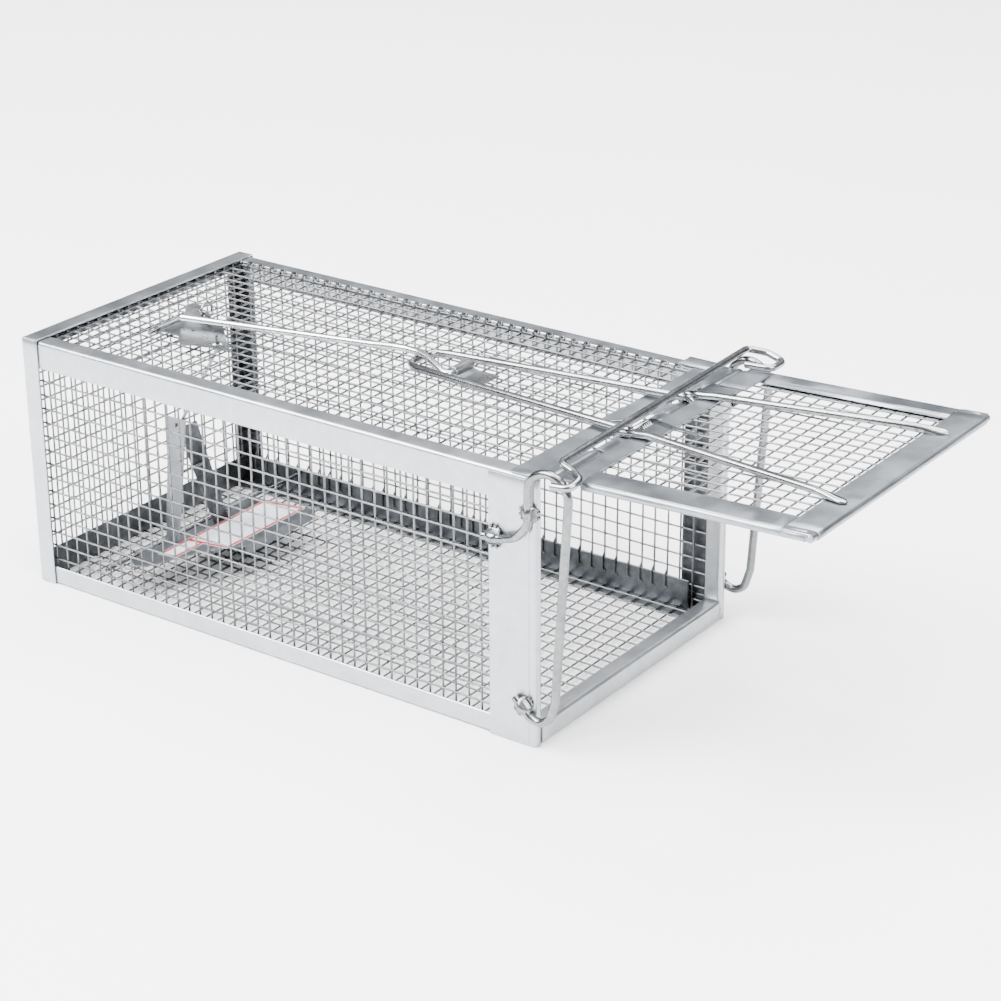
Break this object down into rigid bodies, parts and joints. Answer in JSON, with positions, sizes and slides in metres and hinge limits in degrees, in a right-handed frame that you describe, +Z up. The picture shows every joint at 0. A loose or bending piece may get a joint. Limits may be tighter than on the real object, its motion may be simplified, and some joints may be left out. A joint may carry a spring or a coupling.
{
  "type": "live catch trap",
  "caption": "Wire mesh cage trap with a spring door held open by a U lever, hold-down rod and treadle trigger, and a gravity lock bar.",
  "frame": {"origin": "centre of the open trap's bounding box, on the surface that it stands on", "axes": "+X from the closed rear wall towards the open door, +Y towards the far side, +Z up"},
  "size_m": [0.3806, 0.1574, 0.1238],
  "materials": {
    "sheet": "zinc-plated folded sheet, dull",
    "mesh_wire": "galvanised welded wire",
    "bright_wire": "bright zinc-plated wire",
    "stamped": "zinc-plated stamping",
    "label": "blank paper label with a red border"
  },
  "bodies": {
    "cage": {"near_side_mesh": "mesh_wire", "far_side_mesh": "mesh_wire", "floor_mesh": "mesh_wire", "top_mesh": "mesh_wire", "rear_mesh": "mesh_wire", "near_top_rail": "sheet", "far_top_rail": "sheet", "near_bottom_rail": "sheet", "far_bottom_rail": "sheet", "rear_cap": "sheet", "rear_inner_strip": "sheet", "near_front_post": "sheet", "far_front_post": "sheet", "front_sill": "sheet", "top_front_strip": "sheet", "hinge_rod": "bright_wire", "near_guide_wire": "bright_wire", "far_guide_wire": "bright_wire", "near_guide_clips": "stamped", "far_guide_clips": "stamped", "rod_bracket": "stamped", "catch_pivot_wire": "bright_wire", "treadle_hinge_wire": "bright_wire", "door_spring": "bright_wire"},
    "door": {"door_mesh": "mesh_wire", "door_near_rail": "sheet", "door_far_rail": "sheet", "door_free_rail": "sheet", "door_hinge_strip": "sheet", "door_corner_lap": "sheet", "lever_wire": "bright_wire"},
    "lock_bar": {"lock_bar": "bright_wire"},
    "hold_down_rod": {"hold_down_rod": "bright_wire"},
    "catch": {"catch_plate": "stamped", "catch_ring": "bright_wire"},
    "treadle": {"treadle_plate": "stamped", "treadle_label": "label", "yoke_leg": "stamped", "yoke_arm": "stamped", "yoke_cross_wire": "bright_wire"},
    "link": {"trigger_link": "bright_wire"}
  },
  "joints": [
    {"name": "door_hinge", "type": "hinge", "parent": "cage", "child": "door", "pos_m": [0.08004, 0, 0.1124], "axis": [0, 1, 0], "range_deg": [0, 92.3]},
    {"name": "lock_bar_slide", "type": "slide", "parent": "cage", "child": "lock_bar", "axis": [0.9889, 0, 0.1483], "range_m": [0, 0.0095]},
    {"name": "rod_pivot", "type": "hinge", "parent": "cage", "child": "hold_down_rod", "pos_m": [-0.01326, 0, 0.1142], "axis": [0, 1, 0], "range_deg": [0, 120]},
    {"name": "treadle_pivot", "type": "hinge", "parent": "cage", "child": "treadle", "pos_m": [-0.15426, 0, 0.012], "axis": [0, 1, 0], "range_deg": [0, 5]},
    {"name": "catch_pivot", "type": "hinge", "parent": "cage", "child": "catch", "pos_m": [-0.14626, 0, 0.1139], "axis": [0, 1, 0], "range_deg": [-3.2, 0]},
    {"name": "link_pivot", "type": "hinge", "parent": "treadle", "child": "link", "pos_m": [-0.14226, -0.028, 0.07], "axis": [0, 1, 0], "range_deg": [-12, 0]}
  ],
  "couplings": [
    {"joint": "lock_bar_slide", "follows": "door_hinge", "m_per_rad": 0.0058971},
    {"joint": "catch_pivot", "follows": "treadle_pivot", "ratio": -0.59},
    {"joint": "link_pivot", "follows": "treadle_pivot", "ratio": -2.3}
  ]
}
